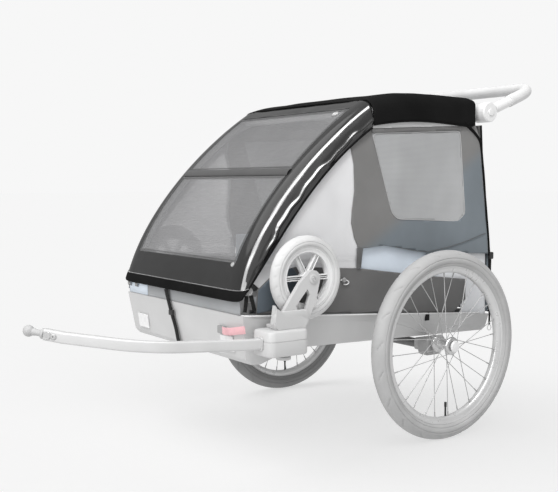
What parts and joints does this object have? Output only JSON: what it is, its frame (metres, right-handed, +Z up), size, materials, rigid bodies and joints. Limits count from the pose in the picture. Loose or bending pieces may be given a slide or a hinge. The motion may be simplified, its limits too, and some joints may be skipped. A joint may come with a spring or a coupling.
{
  "type": "child bicycle trailer",
  "caption": "Low two-wheeled child trailer with a curved black fabric cabin, mesh windows, a bent hitch arm with a ball end, raised small front wheels and a rear push handle.",
  "frame": {"origin": "on the ground, under the middle of the whole length and width", "axes": "+Z up, the front with the hitch faces -Y, +X is the trailer's own left, the side of the hitch arm"},
  "size_m": [0.81, 1.4931, 0.968],
  "materials": {
    "plastic": "pale grey moulded plastic, faintly grained",
    "painted": "pale grey powder coat",
    "bare_metal": "satin",
    "tyre": "pale grey matt rubber with a block tread",
    "black_fabric": "matt coated polyester",
    "gloss_fabric": "coated polyester with a soft shine, creased",
    "grey_fabric": "matt woven polyester",
    "pale_fabric": "padded polyester",
    "pale_blue_fabric": "woven polyester",
    "clear_window": "fine open mesh",
    "smoke_window": "fine dark mesh under clear film",
    "foam": "closed-cell foam",
    "black_webbing": "ribbed polypropylene webbing",
    "pink_webbing": "ribbed webbing",
    "reflector": "prismatic"
  },
  "bodies": {
    "chassis": {"tub": "plastic", "side_frame_left": "painted", "side_frame_right": "painted", "front_cross_tube": "painted", "axle_beam": "painted", "axle_left": "bare_metal", "axle_right": "bare_metal", "side_band_left": "grey_fabric", "side_band_right": "grey_fabric", "liner_left": "pale_blue_fabric", "liner_right": "pale_blue_fabric", "front_band": "pale_fabric", "pod_left": "plastic", "pod_right": "plastic", "seat_cushion": "pale_fabric", "reflector_left": "reflector", "reflector_right": "reflector", "safety_strap": "pink_webbing", "hold_down_strap": "black_webbing"},
    "upper_frame": {"hoop_left": "painted", "hoop_right": "painted", "window_cross_tube": "painted", "roof_front_tube": "painted", "roof_rear_tube": "painted", "roof_fabric": "black_fabric", "side_panel_left": "grey_fabric", "side_panel_right": "grey_fabric", "side_window_left": "clear_window", "side_window_right": "clear_window", "rear_panel": "grey_fabric"},
    "rear_uprights": {"rear_uprights": "painted"},
    "seat_back": {"seat_back": "pale_fabric", "harness_left": "black_webbing", "harness_right": "black_webbing"},
    "front_cover": {"front_cover": "gloss_fabric", "lower_window": "smoke_window", "upper_window": "smoke_window"},
    "handlebar": {"handlebar": "plastic", "handlebar_grip": "foam"},
    "hitch_arm": {"hitch_arm": "painted", "hitch_ball": "plastic", "hitch_pin": "bare_metal"},
    "handlebar_button_left": {"handlebar_button_left": "plastic"},
    "wheel_left": {"tyre_left": "tyre", "rim_left": "painted", "hub_left": "bare_metal"},
    "wheel_button_left": {"wheel_button_left": "plastic"},
    "stroller_fork_left": {"stroller_fork_left": "plastic"},
    "stroller_wheel_left": {"stroller_tyre_left": "tyre", "stroller_rim_left": "plastic"},
    "pod_button_left": {"pod_button_left": "plastic"},
    "handlebar_button_right": {"handlebar_button_right": "plastic"},
    "wheel_right": {"tyre_right": "tyre", "rim_right": "painted", "hub_right": "bare_metal"},
    "wheel_button_right": {"wheel_button_right": "plastic"},
    "stroller_fork_right": {"stroller_fork_right": "plastic"},
    "stroller_wheel_right": {"stroller_tyre_right": "tyre", "stroller_rim_right": "plastic"},
    "pod_button_right": {"pod_button_right": "plastic"}
  },
  "joints": [
    {"name": "frame_fold", "type": "hinge", "parent": "chassis", "child": "upper_frame", "pos_m": [0, -0.27031, 0.428], "axis": [-1, 0, 0], "range_deg": [0, 30], "deforming": ["side_panel_left", "side_panel_right", "side_window_left", "side_window_right", "rear_panel"]},
    {"name": "upright_fold", "type": "hinge", "parent": "chassis", "child": "rear_uprights", "pos_m": [0, 0.51969, 0.302], "axis": [1, 0, 0], "range_deg": [0, 84]},
    {"name": "seat_back_fold", "type": "hinge", "parent": "chassis", "child": "seat_back", "pos_m": [0, 0.33669, 0.378], "axis": [1, 0, 0], "range_deg": [0, 96]},
    {"name": "front_cover_lift", "type": "hinge", "parent": "upper_frame", "child": "front_cover", "pos_m": [0, 0.10669, 0.888], "axis": [-1, 0, 0], "range_deg": [0, 85]},
    {"name": "handlebar_turn", "type": "hinge", "parent": "upper_frame", "child": "handlebar", "pos_m": [0, 0.52069, 0.871], "axis": [1, 0, 0], "range_deg": [-100, 45]},
    {"name": "hitch_arm_slide", "type": "slide", "parent": "chassis", "child": "hitch_arm", "axis": [0, -1, 0], "range_m": [0, 0.06]},
    {"name": "wheel_spin_left", "type": "hinge", "parent": "chassis", "child": "wheel_left", "pos_m": [0.365, 0.30669, 0.25], "axis": [1, 0, 0], "continuous": true},
    {"name": "wheel_release_left", "type": "slide", "parent": "chassis", "child": "wheel_button_left", "axis": [-1, 0, 0], "range_m": [0, 0.003], "stiffness_N_per_m": 800, "springref_m": -0.001},
    {"name": "handlebar_release_left", "type": "slide", "parent": "handlebar", "child": "handlebar_button_left", "axis": [-1, 0, 0], "range_m": [0, 0.003], "stiffness_N_per_m": 800, "springref_m": -0.001},
    {"name": "stroller_fork_lift_left", "type": "slide", "parent": "chassis", "child": "stroller_fork_left", "axis": [0, 0, 1], "range_m": [0, 0.045]},
    {"name": "stroller_wheel_spin_left", "type": "hinge", "parent": "stroller_fork_left", "child": "stroller_wheel_left", "pos_m": [0.328, -0.12581, 0.4505], "axis": [1, 0, 0], "continuous": true},
    {"name": "pod_release_left", "type": "slide", "parent": "chassis", "child": "pod_button_left", "axis": [0, 0, 1], "range_m": [0, 0.004], "stiffness_N_per_m": 800, "springref_m": -0.001},
    {"name": "wheel_spin_right", "type": "hinge", "parent": "chassis", "child": "wheel_right", "pos_m": [-0.365, 0.30669, 0.25], "axis": [1, 0, 0], "continuous": true},
    {"name": "wheel_release_right", "type": "slide", "parent": "chassis", "child": "wheel_button_right", "axis": [1, 0, 0], "range_m": [0, 0.003], "stiffness_N_per_m": 800, "springref_m": -0.001},
    {"name": "handlebar_release_right", "type": "slide", "parent": "handlebar", "child": "handlebar_button_right", "axis": [1, 0, 0], "range_m": [0, 0.003], "stiffness_N_per_m": 800, "springref_m": -0.001},
    {"name": "stroller_fork_lift_right", "type": "slide", "parent": "chassis", "child": "stroller_fork_right", "axis": [0, 0, 1], "range_m": [0, 0.045]},
    {"name": "stroller_wheel_spin_right", "type": "hinge", "parent": "stroller_fork_right", "child": "stroller_wheel_right", "pos_m": [-0.328, -0.12581, 0.4505], "axis": [1, 0, 0], "continuous": true},
    {"name": "pod_release_right", "type": "slide", "parent": "chassis", "child": "pod_button_right", "axis": [0, 0, 1], "range_m": [0, 0.004], "stiffness_N_per_m": 800, "springref_m": -0.001}
  ],
  "couplings": [
    {"joint": "upright_fold", "follows": "frame_fold", "ratio": 2.8},
    {"joint": "seat_back_fold", "follows": "frame_fold", "ratio": 3.2}
  ]
}
